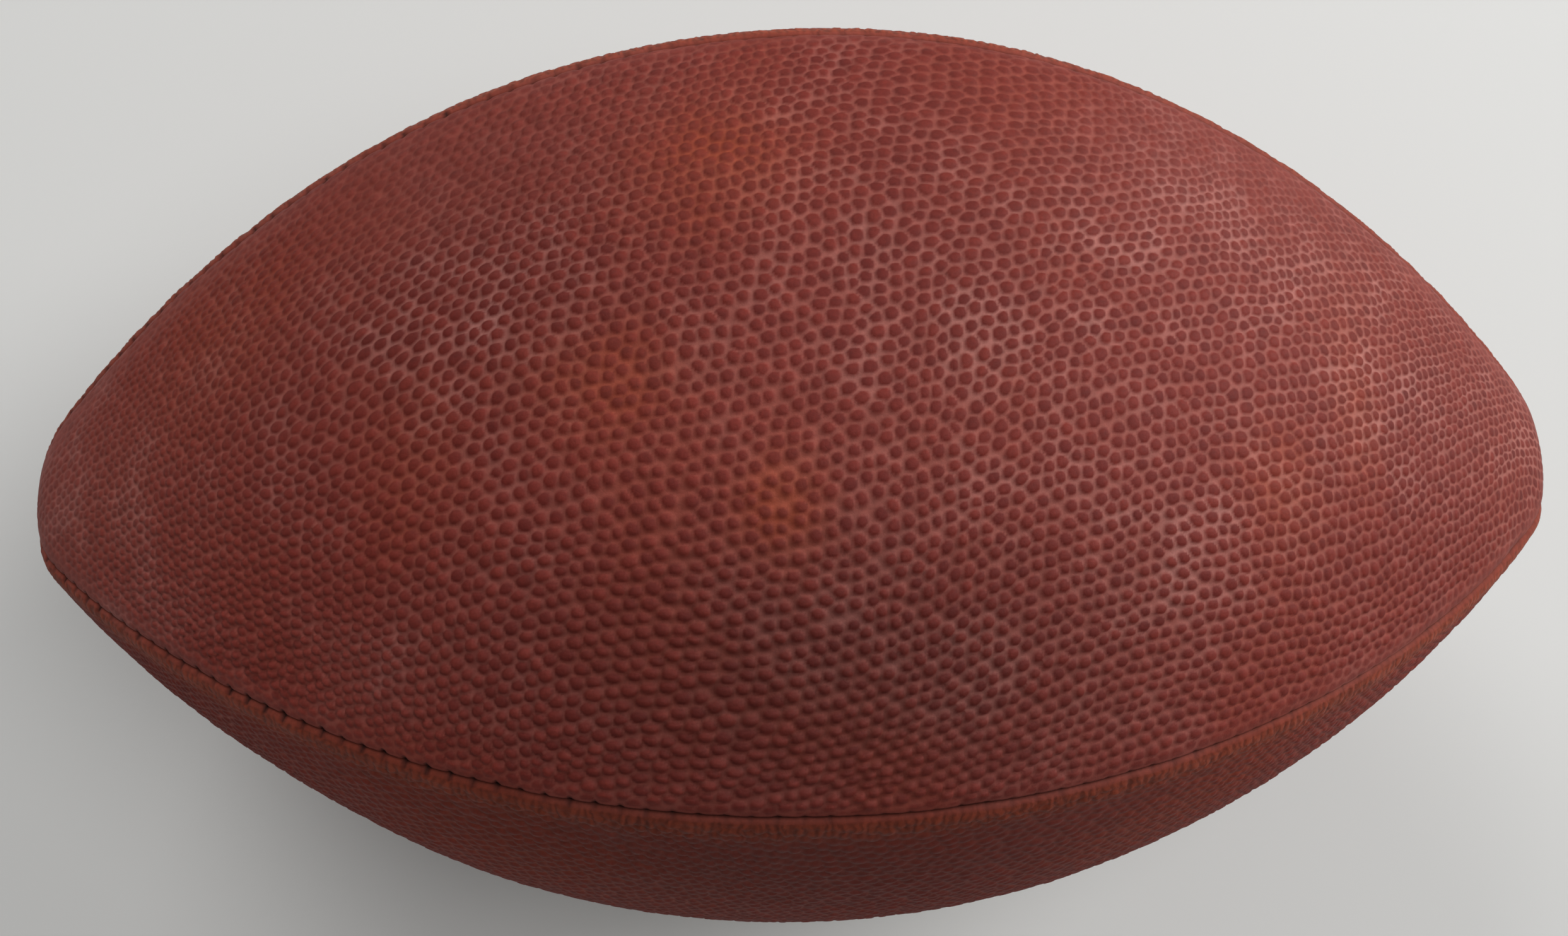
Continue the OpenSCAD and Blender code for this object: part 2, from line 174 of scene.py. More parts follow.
# one line from end to end along the middle of a panel: place, radius and run
lineX = halfLength * np.sin(np.linspace(-quarterTurn, quarterTurn, 6001))
lineRadius = outlineRadius(lineX)
lineRun = np.concatenate(([0], np.cumsum(np.hypot(np.diff(lineX), np.diff(lineRadius)))))
lineRun -= lineRun[-1] / 2
halfRun = lineRun[-1]


def smoothStep(low, high, value):
    # 0 at low and 1 at high, whichever of them is greater
    part = np.clip((value - low) / (high - low), 0, 1)
    return part * part * (3 - 2 * part)


def blend(first, second, share):
    return first + (second - first) * share


def unit(vectors):
    return vectors / np.linalg.norm(vectors, axis=-1, keepdims=True)


def rolled(points, turn):
    # turned about the long axis
    return points @ np.array(Matrix.Rotation(turn, 3, "X")).T


# repeatable unevenness

def cellValue(i, j, seed):
    # a number from 0 to 1 for each whole-number cell
    mask = 0xFFFFFFFF
    mixed = (i.astype(np.int64) * 374761393 + j.astype(np.int64) * 668265263 + seed * 974634777) & mask
    mixed = ((mixed ^ (mixed >> 13)) * 1274126177) & mask
    return ((mixed ^ (mixed >> 16)) & 0xFFFF) / 0xFFFF


def softNoise(a, b, size, seed):
    # smooth hills and hollows about one size across, from -1 to 1
    i, j = np.floor(a / size), np.floor(b / size)
    u, v = smoothStep(0, 1, a / size - i), smoothStep(0, 1, b / size - j)
    near = blend(cellValue(i, j, seed), cellValue(i + 1, j, seed), u)
    far = blend(cellValue(i, j + 1, seed), cellValue(i + 1, j + 1, seed), u)
    return 2 * blend(near, far, v) - 1


def seamNoise(seamRun, size, seed, side=0):
    # the same, changing only along a seam
    return softNoise(seamRun, seamRun * 0 + side, size, seed)


def softSpots(points, spots):
    # each spot is x, y, half length, half width and amount, on a panel that faces up
    x, y = points[..., 0], points[..., 1]
    amount = np.zeros(x.shape)
    for atX, atY, reachX, reachY, most in spots:
        amount = np.maximum(amount, most * np.exp(-((x - atX) / reachX) ** 2 - ((y - atY) / reachY) ** 2))
    return amount


# pebble grain

grain = {
    "pitch": 2.66,  # from pebble to pebble along a row
    "rowPitch": 2.26,
    "squeeze": 0.9,  # below 1, a pebble is longer along its row than across it
    "jitter": 0.2,  # share of the pitch that a pebble may be out of its row
    "sizeSpread": 0.2,
    "top": 0.2,  # share of the pitch at which a pebble starts to fall away
    "foot": 0.64,  # and at which it has reached the valley
    "darkTo": 0.3,  # share of the pitch out to which the dye is dark
    "paleFrom": 0.67,  # and from which it is pale
    "looseness": 0.15,  # how much sooner the dye turns pale where the grain is loose
    "looseSize": 26,
    "crease": 2.5,  # width of the line between two touching pebbles, in mesh spacings
    "touchHeight": 0.55,  # share of the height left in that line
    "touchDye": 0.15,  # and of the dark dye
    "height": 0.52,  # of a full pebble on a fresh panel
    "heightSpread": 0.4,
    "drifts": ((52, 4.5), (11, 0.6)),  # stretches over which rows wander, and how far
    "noseFrom": 42,  # where the pebbles start to close up towards the ends
    "noseShrink": 0.38,  # how much closer they are there, across and along
    "noseShrinkAlong": 0.12,
    "seamShrink": 0.08,  # how much closer they are towards the seams, across and along
    "seamShrinkAlong": 0.11,
    "halfWidth": 62,
}


def pebbles(a, b, loose, look):
    # height of the grain from 0 in a valley to about 1, how dark the dye is, and a number for each pebble
    seed = look["seed"]
    nearSeam = np.minimum(1, (b / grain["halfWidth"]) ** 2)
    a, b = a * (1 + grain["seamShrinkAlong"] * nearSeam), b * (1 + grain["seamShrink"] * nearSeam)
    nearNose = smoothStep(grain["noseFrom"], halfRun, np.abs(a))
    a, b = a * (1 + grain["noseShrinkAlong"] * nearNose), b * (1 + grain["noseShrink"] * nearNose)
    for number, (size, amount) in enumerate(grain["drifts"]):
        a, b = (a + amount * softNoise(a, b, size, seed + 6 * number),
                b + amount * softNoise(a, b, size, seed + 6 * number + 1))
    slant = radians(look["slant"])
    u = a * cos(slant) - b * sin(slant)
    v = a * sin(slant) + b * cos(slant)
    row = np.round(v / grain["rowPitch"])
    first = np.full(a.shape, 99.0)  # distance to the closest pebble
    second = np.full(a.shape, 99.0)
    lot = np.zeros(a.shape)
    for rowStep in (-1, 0, 1):
        j = row + rowStep
        odd = np.mod(j, 2) / 2
        middle = np.round(u / grain["pitch"] - odd)
        for step in (-1, 0, 1):
            i = middle + step
            shiftU = (cellValue(i, j, seed + 2) - 0.5) * 2 * grain["jitter"]
            shiftV = (cellValue(i, j, seed + 3) - 0.5) * 2 * grain["jitter"]
            size = (cellValue(i, j, seed + 4) - 0.5) * grain["sizeSpread"] * grain["pitch"]
            aside = ((i + odd + shiftU) * grain["pitch"] - u) * grain["squeeze"]
            above = ((j + shiftV) * grain["rowPitch"] - v) / grain["squeeze"]
            away = np.hypot(aside, above) - size / 2
            closest = away < first
            second = np.where(closest, first, np.minimum(second, away))
            lot = np.where(closest, cellValue(i, j, seed + 5), lot)
            first = np.where(closest, away, first)
    rim = smoothStep(0, grain["crease"] * look["spacing"], second - first)
    dome = smoothStep(grain["foot"], grain["top"], first / grain["pitch"])
    dome = dome * blend(grain["touchHeight"], 1, rim)
    loose = grain["looseness"] * (loose + 0.4 * softNoise(a, b, grain["looseSize"], seed + 50))
    dark = smoothStep(grain["paleFrom"] - loose, grain["darkTo"] - loose, first / grain["pitch"])
    dark = dark * blend(grain["touchDye"], 1, rim)
    return dome * (1 + grain["heightSpread"] * (lot - 0.5)), dark, lot


# panel edges

edge = {
    "gap": 0.08,  # half the crack between two panels
    "gapWander": 0.04,  # how unevenly the two panels meet
    "gapAtEnds": 0.25,  # share of that crack left at the ends, where the panels are pulled together
    "leastGap": 0.02,
    "roll": 1.0,  # radius at which an edge turns in
    "rollSteps": 7,
    "wall": 6.0,  # how deep the turned-in edge goes
    "fullFrom": 9,  # half width of a panel from which its edges have their full size
    "dip": 0.35,  # how much a flat edge sinks towards its seam
    "dipReach": 2.6,
    "beadAt": 2.4,
    "beadWidth": 3.3,
    "beadDip": 0.5,  # how far a beaded edge sinks into the crack
    "beadDipReach": 1.1,
    "puckerPitch": 1.6,
    "puckerDepth": 0.26,
    "puckerSharpness": 1.5,
    "puckerReach": (6.5, 2.5),  # from the seam, where puckers end and where they are full
    "lumps": 0.09,
    "stitchPitch": 4.0,
    "pitLength": 0.5,
    "pitGap": 0.3,  # how far a stitch pulls the crack open
    "pitDepth": 0.5,
    "weakestPit": 0.45,  # share of a full pull that the slackest stitch has
    "rightPits": 0.3,  # and that stitches have away from the left end
    "thickness": 2.2,
    "endGap": 0.25,  # from a point of the ball to the first row
}

# the laced slot and the valve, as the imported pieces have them
valveLow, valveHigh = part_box("valve_housing")
lacing = {
    "count": 8,
    "pitch": 14.6,
    "holeOff": 12.0,
    "holeRadius": 2.2,
    "slotWidth": 1.2,
    "slotOver": 6.0,
    "endRadius": 2.9,
    "width": 6.0,
    "thickness": 1.6,
    "strandWidth": 4.2,
    "valveRadius": 3.9,
    "wellDepth": 2.0,  # how far the leather sinks at a hole
}
laceSpots = [(i - (lacing["count"] - 1) / 2) * lacing["pitch"] for i in range(lacing["count"])]
slotHalf = laceSpots[-1] + lacing["slotOver"]


def panelPoints(run, turn):
    # points and normals of a panel that faces up, at a run along it and a turn across it
    x = np.interp(run, lineRun, lineX)
    radius = np.interp(run, lineRun, lineRadius)
    step = 0.05
    before, after = np.clip(run - step, -halfRun, halfRun), np.clip(run + step, -halfRun, halfRun)
    alongX = np.interp(after, lineRun, lineX) - np.interp(before, lineRun, lineX)
    alongRadius = np.interp(after, lineRun, lineRadius) - np.interp(before, lineRun, lineRadius)
    length = np.hypot(alongX, alongRadius)
    alongX, alongRadius = alongX / length, alongRadius / length / panelRadius
    scale = radius / panelRadius
    points = np.stack(np.broadcast_arrays(
        x, arcRadius * scale * np.sin(turn), arcRadius * scale * np.cos(turn) - arcShift * scale), -1)
    lean = alongRadius * (arcRadius - arcShift * np.cos(turn))
    normals = np.stack(np.broadcast_arrays(-lean, alongX * np.sin(turn), alongX * np.cos(turn)), -1)
    return points, unit(normals)


def seamRuns(run):
    # run along a seam, counted from its middle, at even steps along a panel
    corner, _ = panelPoints(run, np.full(run.shape, arcTurn))
    length = np.concatenate(([0], np.cumsum(np.linalg.norm(np.diff(corner, axis=0), axis=1))))
    return length - length[-1] / 2


def edgeShape(look, index, away, seamRun):
    # height of the leather near a seam, how much of it is bead, and how deep it is puckered
    rise, seed = look["edges"][index], look["seed"] + 20 + 10 * index
    if rise == 0:
        dip = edge["dip"] * (1 + 0.5 * seamNoise(seamRun, 6.7, seed))
        none = np.zeros(np.broadcast(away, seamRun).shape)
        return -dip * smoothStep(edge["dipReach"], 0, away), none, none
    bead = np.exp(-((away - edge["beadAt"]) / edge["beadWidth"]) ** 2)
    # puckers that run down from the seam, none like the next
    drift = 1.3 * softNoise(seamRun, away * 0.5, 5.3, seed)
    drift = drift + 0.7 * softNoise(seamRun, away * 0.4, 2.1, seed + 1)
    fold = 0.5 + 0.5 * np.cos(2 * pi * (seamRun / edge["puckerPitch"] + drift))
    strength = 0.5 + 0.5 * softNoise(seamRun, away, 3.3, seed + 2)
    reach = smoothStep(*edge["puckerReach"], away) * smoothStep(-0.2, 1.4, away)
    lump = edge["lumps"] * softNoise(seamRun, away, 2.3, seed + 3) * reach
    sunk = edge["beadDip"] * np.exp(-(away / edge["beadDipReach"]) ** 2)
    fold = strength * reach * fold ** edge["puckerSharpness"]
    return rise * bead - sunk + lump - edge["puckerDepth"] * fold, bead, fold


def panelRows(look):
    # the rows of a panel from end to end; its edges shrink with it at the ends
    seed = look["seed"]
    count = int(2 * halfRun / look["spacing"])
    run = np.linspace(-halfRun + edge["endGap"], halfRun - edge["endGap"], count)[:, None]
    scale = np.interp(run, lineRun, lineRadius) / panelRadius
    halfWidth = arcRadius * scale * arcTurn
    small = np.clip(halfWidth / edge["fullFrom"], 0.02, 1)
    seamRun = seamRuns(run[:, 0])[:, None]
    # where stitches pull the leather in
    stitch = seamRun / edge["stitchPitch"]
    toStitch = np.abs(stitch % 1 - 0.5) * edge["stitchPitch"]
    pit = np.exp(-(toStitch / edge["pitLength"]) ** 2) * smoothStep(halfRun - 6, halfRun - 14, np.abs(run))
    pit = pit * blend(edge["weakestPit"], 1, cellValue(np.round(stitch - 0.5), seamRun * 0, seed + 40))
    pit = pit * blend(edge["rightPits"], 1, smoothStep(-10, -70, run))
    wander = seamNoise(seamRun, 3.1, seed + 41) + seamNoise(seamRun, 1.3, seed + 42)
    parted = blend(1, edge["gapAtEnds"], smoothStep(20, 80, np.abs(run)))
    gap = (edge["gap"] + edge["gapWander"] * wander) * parted + edge["pitGap"] * pit
    gap = np.maximum(edge["leastGap"], gap) * small
    roll = edge["roll"] * (1 + 0.15 * pit) * small
    return {"run": run, "scale": scale, "halfWidth": halfWidth, "small": small, "seamRun": seamRun,
            "pit": pit, "gap": gap, "roll": roll}


def turnedEdge(look, row, index, start):
    # the leather rolls in at a seam, then runs down beside its neighbour
    sign = (-1, 1)[index]
    run, scale, small, gap, pit = (row[key][:, 0] for key in ("run", "scale", "small", "gap", "pit"))
    corner, normal = panelPoints(run, sign * (arcTurn - gap / (arcRadius * scale)))
    plane = np.array((0, sign * cos(seamTurn), -sin(seamTurn)))
    inward = unit((normal @ plane)[:, None] * plane - normal)
    raised = edgeShape(look, index, np.zeros((len(run), 1)), row["seamRun"])[0][:, 0]
    top = corner + normal * ((raised - edge["pitDepth"] * pit) * small)[:, None]
    end = top + inward * row["roll"]
    parts = np.linspace(0, 1, edge["rollSteps"])[1:]
    curve = [(1 - part) ** 2 * start + 2 * part * (1 - part) * top + part ** 2 * end for part in parts]
    curve += [end + inward * (depth * edge["wall"] * row["small"]) for depth in (0.12, 0.4, 1.0)]
    curve = np.stack(curve, axis=1)
    # painted shade, growing from the rolled edge down into the crack
    mask = np.concatenate((parts ** 3, (1, 1, 1)))[None, :]
    return (curve[:, ::-1], mask[:, ::-1]) if sign < 0 else (curve, mask)


def innerSide(row):
    # the flesh side, from the second seam back to the first
    share = np.linspace(0.99, -0.99, 25)[None, :]
    small = row["small"]
    away = (1 - np.abs(share)) * row["halfWidth"] + edge["thickness"] * small
    turn = np.sign(share) * np.maximum(0, arcTurn - away / (arcRadius * row["scale"]))
    points, normals = panelPoints(row["run"], turn)
    depth = edge["thickness"] + (edge["wall"] - edge["thickness"]) * smoothStep(5.5, 2.2, away / small)
    depth = depth * np.clip(small * 1.5, 0.05, 1)
    return points - normals * depth[..., None]


worn = {
    "stripAtEnds": 0.9,  # how much wider the smooth strip beside a seam is at the ends
    "stripWander": 0.25,
    "beside": 0.2,  # share of the grain left in that strip, and at the ends
    "dyeLeft": 0.3,  # least share left of the difference in dye
    "dent": 6 / 7,  # share of the grain lost in a dent 1 mm deep
    "swells": ((31, 0.22), (9, 0.07)),  # size and height of the hide's own unevenness
    "flatReach": 62,
}


def grainLeft(look, run, across, away, side, seamRun):
    # share of the grain left beside the seams, and share left towards the ends
    least = worn["beside"]
    strip = np.where(side < 0, look["strip"][0], look["strip"][1])
    strip = strip * (1 + worn["stripAtEnds"] * smoothStep(20, 110, np.abs(run)))
    strip = strip * (1 + worn["stripWander"] * seamNoise(seamRun, 2.9, look["seed"] + 43, side))
    toSeam = least * smoothStep(0.5, 2, away) + (1 - least) * smoothStep(0.35, 1.0, away / strip)
    toNose = blend(least, 1, smoothStep(6, 58, halfRun - np.abs(run)))
    toNose = toNose * (1 - look["wornEnd"] * smoothStep(-20, 80, run))
    toNose = toNose * (1 + look["crispSide"] * smoothStep(0, -42, across))
    return toSeam, toNose


def makePanel(name, look):
    row = panelRows(look)
    run, scale, small, seamRun = (row[key] for key in ("run", "scale", "small", "seamRun"))
    rows = len(run)
    # the face, from the seam on one side to the seam on the other
    half = int(arcRadius * arcTurn / look["spacing"])
    turnedIn = row["gap"] + row["roll"]
    away = turnedIn + (row["halfWidth"] - turnedIn) * np.linspace(0, 1, half + 1)[None, :]
    away = np.concatenate((away, away[:, -2::-1]), axis=1)
    side = np.concatenate((-np.ones(half + 1), np.ones(half)))[None, :]
    turn = side * (arcTurn - away / (arcRadius * scale))
    across = turn * arcRadius * scale
    points, normals = panelPoints(run, turn)
    along = run + 0 * across
    relief, rim, lot = pebbles(along, across, softSpots(points, look["loose"]), look)

    toSeam, toNose = grainLeft(look, run, across, away, side, seamRun)
    dyeLeft = blend(worn["dyeLeft"], 1, toSeam)
    softEnd = smoothStep(0, 125, halfRun - look["softEnd"] * run)
    plain = 1 - dyeLeft * blend(worn["dyeLeft"], 1, softEnd)
    plain = np.maximum(plain, softSpots(points, look["even"]))
    dent = softSpots(points, look["dents"])
    fade = toSeam * toNose * (1 - worn["dent"] * dent)

    shapes = (edgeShape(look, index, away, seamRun) for index in (0, 1))
    shape, bead, fold = (np.where(side < 0, left, right) for left, right in zip(*shapes))
    swell = -dent - look["flatten"] * np.exp(-(run / worn["flatReach"]) ** 2) * (1 - (turn / arcTurn) ** 2)
    for number, (size, amount) in enumerate(worn["swells"]):
        swell = swell + amount * softNoise(along, across, size, look["seed"] + 8 + number)
    height = grain["height"] * look["grainShare"] * (relief - 0.5) * fade
    height = height + shape * small + swell * smoothStep(2, 12, away)
    well = np.zeros(height.shape)
    for spot in look["wells"](points):
        well = np.maximum(well, spot)
    height = height * (1 - well) - lacing["wellDepth"] * well
    face = points + normals * height[..., None]

    leftRing, leftCreaseShade = turnedEdge(look, row, 0, face[:, 0])
    rightRing, rightCreaseShade = turnedEdge(look, row, 1, face[:, -1])
    inner = innerSide(row)
    ring = np.concatenate((leftRing, face, rightRing, inner), axis=1)

    def mask(values, left, right, inside):
        parts = ((left, leftRing), (values, face), (right, rightRing), (inside, inner))
        return np.concatenate([np.broadcast_to(part, (rows, of.shape[1])) for part, of in parts], axis=1)

    pulled = 0.9 * row["pit"]
    # painted shade beside the crack, in the puckers' folds, at the stitch pits and in the lace holes and
    # valve well
    creaseShade = smoothStep(1.5, 0.3, away / small) * 0.36 + 0.4 * fold + well
    creaseShade = creaseShade + 0.3 * row["pit"] * smoothStep(1.4, 0.7, away)
    rolled = [0.3 * (rise > 0) for rise in look["edges"]]
    masks = {
        "rim": mask(rim * (1 - well), 0, 0, 0),
        "relief": mask(np.clip(relief, 0, 1) * (1 - well), 0, 0, 0),
        "lot": mask(lot, 0.5, 0.5, 0.5),
        "flat": mask(plain, 1, 1, 1),
        "bead": mask(bead, rolled[0], rolled[1], 0),
        "crease": np.clip(mask(creaseShade, leftCreaseShade + pulled, rightCreaseShade + pulled, 0), 0, 1),
        "seamRun": mask(seamRun, seamRun, seamRun, 0),
    }
    # warm and pale spots of dye, the pale ones also carrying a painted sheen, and spots of painted shade
    for label in ("warm", "pale", "paintedShade"):
        amount = softSpots(points, look[label])
        masks[label] = mask(amount, amount[:, :1], amount[:, -1:], 0)
    return closeRings(name, settle(ring, look["turn"]), run[:, 0], masks)


def closeRings(name, ring, run, masks):
    # joins each ring to the next and closes both ends with a point
    rows, count = ring.shape[:2]
    ends = np.array(((-halfLength, 0, 0), (halfLength, 0, 0)))
    quads = ringQuads(rows, count)
    j = np.arange(count)
    beside = (j + 1) % count
    first = np.stack((np.full(count, rows * count), j, beside), -1)
    lastRow = (rows - 1) * count
    last = np.stack((lastRow + j, np.full(count, rows * count + 1), lastRow + beside), -1)
    faces = quads.reshape(-1, 4).tolist() + first.tolist() + last.tolist()
    piece = meshOf(name, np.concatenate((ring.reshape(-1, 3), ends)), faces)
    # the rings unrolled flat, for baking
    widest = np.linalg.norm(np.diff(ring, axis=1, append=ring[:, :1]), axis=2)[rows // 2]
    v = np.concatenate(([0], np.cumsum(widest)))
    size = max(2 * halfRun, v[-1]) * 1.02
    u, v = (run - run[0]) / size, v / size
    quadU = u[quads // count]
    quadV = np.broadcast_to(v[j[:, None] + (0, 0, 1, 1)], quads.shape)
    endV = v[j[:, None] + (0, 0, 1)].ravel()
    endU = np.concatenate((np.zeros(3 * count), np.full(3 * count, u[-1])))
    uvs = np.stack((np.concatenate((quadU.ravel(), endU)), np.concatenate((quadV.ravel(), endV, endV))), -1)
    piece.data.uv_layers.new(name="OFBake")
    piece.data.uv_layers["OFBake"].uv.foreach_set("vector", uvs.ravel())
    for label, values in masks.items():
        layer = piece.data.attributes.new(label, "FLOAT", "POINT")
        layer.data.foreach_set("value", np.concatenate((values.ravel(), (0, 0))))
    return piece


def settle(ring, turn):
    # turns a panel to its place; a sewn ball is never quite true
    moved = rolled(ring, turn)
    x = moved[..., 0]
    moved[..., 1] -= ball["bend"] * smoothStep(ball["bendFrom"], ball["bendTo"], x)
    sunk = smoothStep(30, 70, moved[..., 1]) * smoothStep(-20, 40, moved[..., 2])
    sunk = sunk * np.exp(-((x - ball["sinkAt"]) / ball["sinkReach"]) ** 2)
    moved[..., 1:] *= 1 - ball["rearSink"] / seamRadius * sunk[..., None]
    return moved


def laceWells(sign):
    # the lace's holes and slot along the seam on one side of a panel that faces up
    def wells(points):
        off = points @ np.array((0, -sign * cos(seamTurn), sin(seamTurn)))
        x = points[..., 0]
        for spot in laceSpots:
            away = np.hypot(x - spot, (off - lacing["holeOff"]) * 1.04)
            yield smoothStep(lacing["holeRadius"] + 0.6, lacing["holeRadius"] - 0.35, away)
        for end in (-1, 1):
            away = np.hypot(x - end * slotHalf, off)
            yield smoothStep(lacing["endRadius"] + 0.3, lacing["endRadius"] - 0.4, away)
        inSlot = smoothStep(lacing["slotWidth"] / 2 + 0.5, lacing["slotWidth"] / 2 - 0.1, off)
        yield inSlot * smoothStep(slotHalf + 0.5, slotHalf - 0.5, np.abs(x))
    return wells


def bottomWells(points):
    yield from laceWells(1)(points)
    away = np.hypot(points[..., 0], points[..., 1])
    yield smoothStep(lacing["valveRadius"] + 1.1, lacing["valveRadius"] + 0.05, away)


# what a panel has unless its own values say otherwise
plainPanel = {
    "slant": -16,  # of the rows of pebbles, in degrees
    "edges": (0, 0),  # height of the bead along each seam
    "strip": (2.6, 2.6),  # width of the smooth strip beside each seam
    "spacing": 0.5,  # of the mesh
    "grainShare": 0.75,  # of the grain's full height
    "wornEnd": 0.2,  # share of the grain worn away towards one end
    "crispSide": 0,  # how much fresher it is along one side
    "softEnd": 0,  # -1 where the dye is plain towards the other end
    "flatten": 0,  # how far the middle sinks
    "dents": (),
    "wells": lambda points: (),
}

# The spots are where the dye is warmer, the valleys are dusty and carry a painted sheen, painted shade
# darkens the leather, pebbles and valleys have the same dye, and the grain is loose.
panels = {
    "panel_top": {
        "turn": 0, "seed": 100, "spacing": 0.42, "strip": (2.8, 5.0), "grainShare": 1.0, "wornEnd": 0.35,
        "crispSide": 0.5, "softEnd": -1, "dents": ((-68, 37, 17, 13, 0.7),),
        "warm": ((-8, -18, 6, 7, 1), (72, -14, 8, 9, 0.9), (88, 0, 5, 13, 0.9), (-16, 38, 16, 12, 0.9),
                 (-34, 2, 13, 9, 0.6), (-98, 18, 12, 16, 0.5), (-62, -6, 9, 12, 0.4)),
        "pale": ((28, 12, 26, 34, 0.6), (96, 14, 26, 26, 1), (-56, 18, 22, 16, 0.8),
                 (56, 30, 28, 20, 0.8), (60, -22, 26, 16, 0.7), (10, -42, 30, 8, 0.4),
                 (-70, -38, 16, 9, 0.5), (-122, -6, 26, 28, 0.9), (134, 0, 24, 30, 0.8)),
        "paintedShade": ((0, -46, 58, 28, 1), (-40, 20, 50, 34, 0.3), (16, 10, 26, 50, 0.3)),
        "even": ((-84, -40, 40, 22, 0.35), (20, -60, 70, 12, 0.3), (84, 50, 50, 22, 0.7),
                 (-72, 48, 44, 18, 0.7)),
        "loose": ((-14, -20, 38, 34, 1), (34, -48, 40, 22, 0.7)),
    },
    "panel_front": {
        "turn": quarterTurn, "seed": 200, "spacing": 0.45, "slant": 8, "edges": (0, 0.5),
        "strip": (2.6, 3.2), "grainShare": 0.8, "wornEnd": 0.1, "flatten": 0.6, "wells": laceWells(-1),
        "warm": ((60, 36, 22, 12, 0.8), (-50, 30, 60, 40, 0.6), (70, 20, 50, 30, 0.4)),
        "pale": ((-20, -10, 30, 16, 0.4), (90, 0, 20, 20, 0.5)),
        "paintedShade": ((-10, 52, 82, 36, 1),),
        "even": ((-30, 56, 100, 28, 0.9),),
        "loose": ((20, -6, 36, 26, 0.9),),
    },
    "panel_bottom": {
        "turn": 2 * quarterTurn, "seed": 300, "wells": bottomWells,
        "warm": ((-60, -10, 20, 20, 0.6), (50, 20, 16, 20, 0.5)),
        "pale": ((30, -14, 30, 18, 0.5), (-80, 10, 24, 24, 0.6)),
        "paintedShade": ((0, 40, 50, 20, 0.4),),
        "even": ((70, -30, 40, 20, 0.5),),
        "loose": ((-30, 10, 40, 26, 0.9),),
    },
    "panel_rear": {
        "turn": 3 * quarterTurn, "seed": 400, "edges": (0.25, 0.12), "strip": (4.6, 3.4),
        "warm": ((30, 10, 18, 14, 0.7), (-84, 0, 20, 16, 0.6)),
        "pale": ((-30, -6, 34, 22, 0.6), (84, 8, 24, 20, 0.7)),
        "paintedShade": ((20, -30, 44, 18, 0.4),),
        "even": ((-70, 30, 40, 20, 0.5),),
        "loose": ((10, 16, 40, 26, 0.9),),
    },
}

leatherPieces = []
for name, look in panels.items():
    piece = makePanel(name.replace("panel_", "leather_"), {**plainPanel, **look})
    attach(piece, "root")
    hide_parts(name)
    leatherPieces.append(piece)
    print(name, "made with", len(piece.data.polygons), "faces")


# lace

lace = {
    "lift": 0.1,  # air under a strip that lies on the leather
    "legDepth": 5.6,  # how far down the runs inside the ball lie
    "legWidth": 3.7,  # the lace folds to pass through a hole
    "strandEnd": 2.4,
    "sag": 0.12,
    "askew": 0.21,  # how far along the seam a cross lace may lie out of square at its holes
    "sides": 24,
    "bluntness": 0.55,  # of the strip's rounded edges
}


def onSeam(x, off, height):
    # a point beside the laced seam while that seam is straight up, height above the leather
    scale = np.interp(np.abs(x), lineX, lineRadius) / panelRadius
    sideways = np.abs(off) + arcShift * scale * sin(seamTurn)
    up = np.sqrt((arcRadius * scale) ** 2 - sideways ** 2)
    lean = sideways / (arcRadius * scale) * smoothStep(0, 3, np.abs(off))
    upright = np.sqrt(1 - lean ** 2)
    sign = np.where(off < 0, -1, 1)
    return np.stack((x, sign * (np.abs(off) + height * lean),
                     up - arcShift * scale * cos(seamTurn) + height * upright), -1)


def smoothPath(points, steps):
    # a curve through all the points, with even steps between each two
    points = np.array(points, dtype=float)
    padded = np.concatenate((2 * points[:1] - points[1:2], points, 2 * points[-1:] - points[-2:-1]))
    t = np.linspace(0, 1, steps, endpoint=False)[:, None]
    parts = []
    for i in range(len(points) - 1):
        before, start, end, after = padded[i:i + 4]
        bend = 2 * before - 5 * start + 4 * end - after
        turn = 3 * start - before - 3 * end + after
        parts.append(0.5 * (2 * start + (end - before) * t + bend * t ** 2 + turn * t ** 3))
    return np.concatenate(parts + [points[-1:]])


def stripRings(path, across, width):
    # sections of a flat strip with rounded edges along a path; across points along its width
    ahead = unit(np.gradient(path, axis=0))
    across = unit(across - (across * ahead).sum(1, keepdims=True) * ahead)
    over = np.cross(across, ahead)
    angle = np.linspace(0, 2 * pi, lace["sides"], endpoint=False)
    waves = np.array((np.cos(angle), np.sin(angle)))
    wide, high = np.sign(waves) * np.abs(waves) ** lace["bluntness"]
    return (path[:, None] + across[:, None] * (wide[None, :] * width[:, None] / 2)[..., None]
            + over[:, None] * (high * lacing["thickness"] / 2)[None, :, None])


def joinRings(name, parts, turn):
    # one mesh of several closed tubes, each given as rings of points
    faces = []
    base = 0
    for rings in parts:
        rows, count = rings.shape[:2]
        faces += (base + ringQuads(rows, count)).reshape(-1, 4).tolist()
        faces.append([base + j for j in range(count)])
        faces.append([base + (rows - 1) * count + j for j in reversed(range(count))])
        base += rows * count
    points = np.concatenate([rings.reshape(-1, 3) for rings in parts])
    return meshOf(name, rolled(points, turn), faces)


def crossLacePath(x, number):
    hole = lacing["holeOff"]
    strandEdge = lace["lift"] + lacing["strandWidth"]
    low = lace["lift"] + lacing["thickness"] / 2
    high = low + lacing["thickness"] + lace["lift"]
    # off the seam and above the leather: out of a hole, over a strand, to the middle
    half = [(hole, -lace["legDepth"]), (hole, -2.4), (hole - 0.1, -0.5), (hole - 1.0, low + 0.25),
            (hole - 2.9, low + 0.1), (strandEdge + 2.3, low + 0.12), (strandEdge + 0.9, low + 0.75),
            (strandEdge - 0.7, high - 0.02), (1.9, high + 0.04)]
    off, height = smoothPath([(-off, height) for off, height in half] + [(0, high + 0.1)] + half[::-1], 7).T
    askew = lace["askew"] * sin(2.3 * number)
    points = onSeam(x + askew * off / hole, off, height)
    width = blend(lace["legWidth"], lacing["width"], smoothStep(hole - 0.4, hole - 3.0, np.abs(off)))
    return stripRings(points, np.tile((1.0, 0, 0), (len(points), 1)), width)


